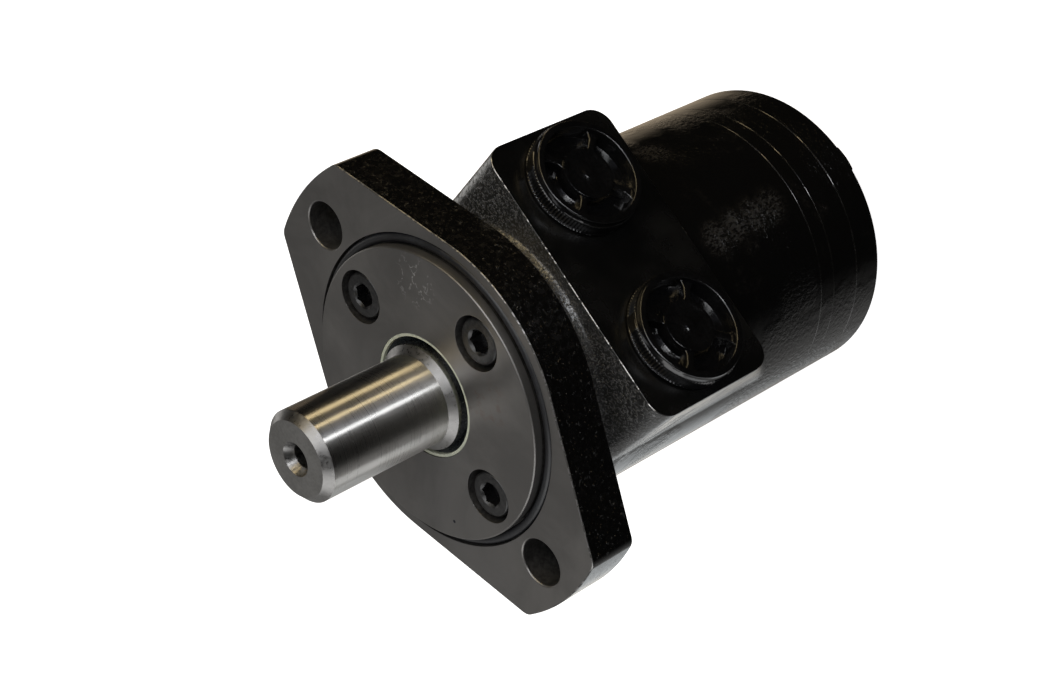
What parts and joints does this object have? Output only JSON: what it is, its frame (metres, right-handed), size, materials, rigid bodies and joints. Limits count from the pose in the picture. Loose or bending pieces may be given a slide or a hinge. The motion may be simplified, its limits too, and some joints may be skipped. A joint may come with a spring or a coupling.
{
  "type": "hydraulic motor",
  "caption": "Orbital hydraulic motor with a pilot mounting flange, straight shaft, plugged side ports and a bolted roller set behind a spool-valve housing.",
  "frame": {"origin": "centre of the two-bolt pattern on the flange's mounting face, on the shaft's axis", "axes": "+Z along the shaft towards its end, X through the two mounting bolt holes, -Y out of the port pad"},
  "size_m": [0.1294, 0.0973, 0.1861],
  "materials": {
    "flange_iron": "machined satin face, rough black cast edge",
    "black_paint": "gloss black paint over cast iron",
    "black_oxide": "black oxide, lightly oiled",
    "painted_bolt": "black, painted over",
    "ground_steel": "ground bright with a turned end",
    "hardened_steel": "hardened and ground",
    "plated_steel": "zinc plated",
    "cage_brass": "pressed brass",
    "sealing_copper": "annealed copper",
    "rubber": "smooth nitrile rubber",
    "seal_plastic": "ivory seal plastic",
    "plug_plastic": "glossy moulded plastic"
  },
  "bodies": {
    "root": {"mounting_flange": "flange_iron", "flange_cap_screws": "black_oxide", "pilot_o_ring": "rubber", "dust_seal": "seal_plastic", "wiper_lip": "rubber", "shaft_seal": "rubber", "seal_backup_ring": "hardened_steel", "flange_seal_ring": "rubber", "thrust_race_front": "hardened_steel", "housing": "black_paint", "spacer_plate": "black_paint", "end_cover": "black_paint", "end_cover_bolts": "painted_bolt", "body_seal_front": "rubber", "body_seal_middle": "rubber", "body_seal_rear": "rubber", "port_plug_a": "plug_plastic", "port_plug_b": "plug_plastic", "plug_o_ring_a": "rubber", "plug_o_ring_b": "rubber", "drain_plug": "plated_steel", "drain_plug_washer": "sealing_copper", "roller_ring": "black_paint"},
    "shaft": {"output_shaft": "ground_steel", "thrust_race_rear": "hardened_steel"},
    "bearing_cage": {"thrust_bearing_cage": "cage_brass", "thrust_bearing_needles": "hardened_steel"},
    "orbiter": {"drive_spacer": "hardened_steel"},
    "rotor": {"rotor": "hardened_steel"},
    "link": {"drive_link": "hardened_steel"},
    "roller_1": {"roller_1": "hardened_steel"},
    "roller_2": {"roller_2": "hardened_steel"},
    "roller_3": {"roller_3": "hardened_steel"},
    "roller_4": {"roller_4": "hardened_steel"},
    "roller_5": {"roller_5": "hardened_steel"},
    "roller_6": {"roller_6": "hardened_steel"},
    "roller_7": {"roller_7": "hardened_steel"}
  },
  "joints": [
    {"name": "shaft_spin", "type": "hinge", "parent": "root", "child": "shaft", "pos_m": [0, 0, 0], "axis": [0, 0, 1], "continuous": true},
    {"name": "orbit", "type": "hinge", "parent": "root", "child": "orbiter", "pos_m": [0, 0, -0.1203], "axis": [0, 0, 1], "continuous": true},
    {"name": "rotor_spin", "type": "hinge", "parent": "orbiter", "child": "rotor", "pos_m": [0, 0.0028, -0.1203], "axis": [0, 0, 1], "continuous": true},
    {"name": "link_spin", "type": "hinge", "parent": "orbiter", "child": "link", "pos_m": [0, 0, -0.072], "axis": [0, -0.059, 0.9983], "continuous": true},
    {"name": "cage_spin", "type": "hinge", "parent": "root", "child": "bearing_cage", "pos_m": [0, 0, -0.01785], "axis": [0, 0, 1], "continuous": true},
    {"name": "roller_1_spin", "type": "hinge", "parent": "root", "child": "roller_1", "pos_m": [0.01171, -0.02433, -0.1203], "axis": [0, 0, 1], "continuous": true},
    {"name": "roller_2_spin", "type": "hinge", "parent": "root", "child": "roller_2", "pos_m": [0.02632, -0.00601, -0.1203], "axis": [0, 0, 1], "continuous": true},
    {"name": "roller_3_spin", "type": "hinge", "parent": "root", "child": "roller_3", "pos_m": [0.02111, 0.01683, -0.1203], "axis": [0, 0, 1], "continuous": true},
    {"name": "roller_4_spin", "type": "hinge", "parent": "root", "child": "roller_4", "pos_m": [0, 0.027, -0.1203], "axis": [0, 0, 1], "continuous": true},
    {"name": "roller_5_spin", "type": "hinge", "parent": "root", "child": "roller_5", "pos_m": [-0.02111, 0.01683, -0.1203], "axis": [0, 0, 1], "continuous": true},
    {"name": "roller_6_spin", "type": "hinge", "parent": "root", "child": "roller_6", "pos_m": [-0.02632, -0.00601, -0.1203], "axis": [0, 0, 1], "continuous": true},
    {"name": "roller_7_spin", "type": "hinge", "parent": "root", "child": "roller_7", "pos_m": [-0.01171, -0.02433, -0.1203], "axis": [0, 0, 1], "continuous": true}
  ],
  "couplings": [
    {"joint": "orbit", "follows": "shaft_spin", "ratio": -6},
    {"joint": "rotor_spin", "follows": "shaft_spin", "ratio": 7},
    {"joint": "link_spin", "follows": "shaft_spin", "ratio": 7},
    {"joint": "cage_spin", "follows": "shaft_spin", "ratio": 0.5},
    {"joint": "roller_1_spin", "follows": "shaft_spin", "ratio": -4.4},
    {"joint": "roller_2_spin", "follows": "shaft_spin", "ratio": -4.4},
    {"joint": "roller_3_spin", "follows": "shaft_spin", "ratio": -4.4},
    {"joint": "roller_4_spin", "follows": "shaft_spin", "ratio": -4.4},
    {"joint": "roller_5_spin", "follows": "shaft_spin", "ratio": -4.4},
    {"joint": "roller_6_spin", "follows": "shaft_spin", "ratio": -4.4},
    {"joint": "roller_7_spin", "follows": "shaft_spin", "ratio": -4.4}
  ]
}
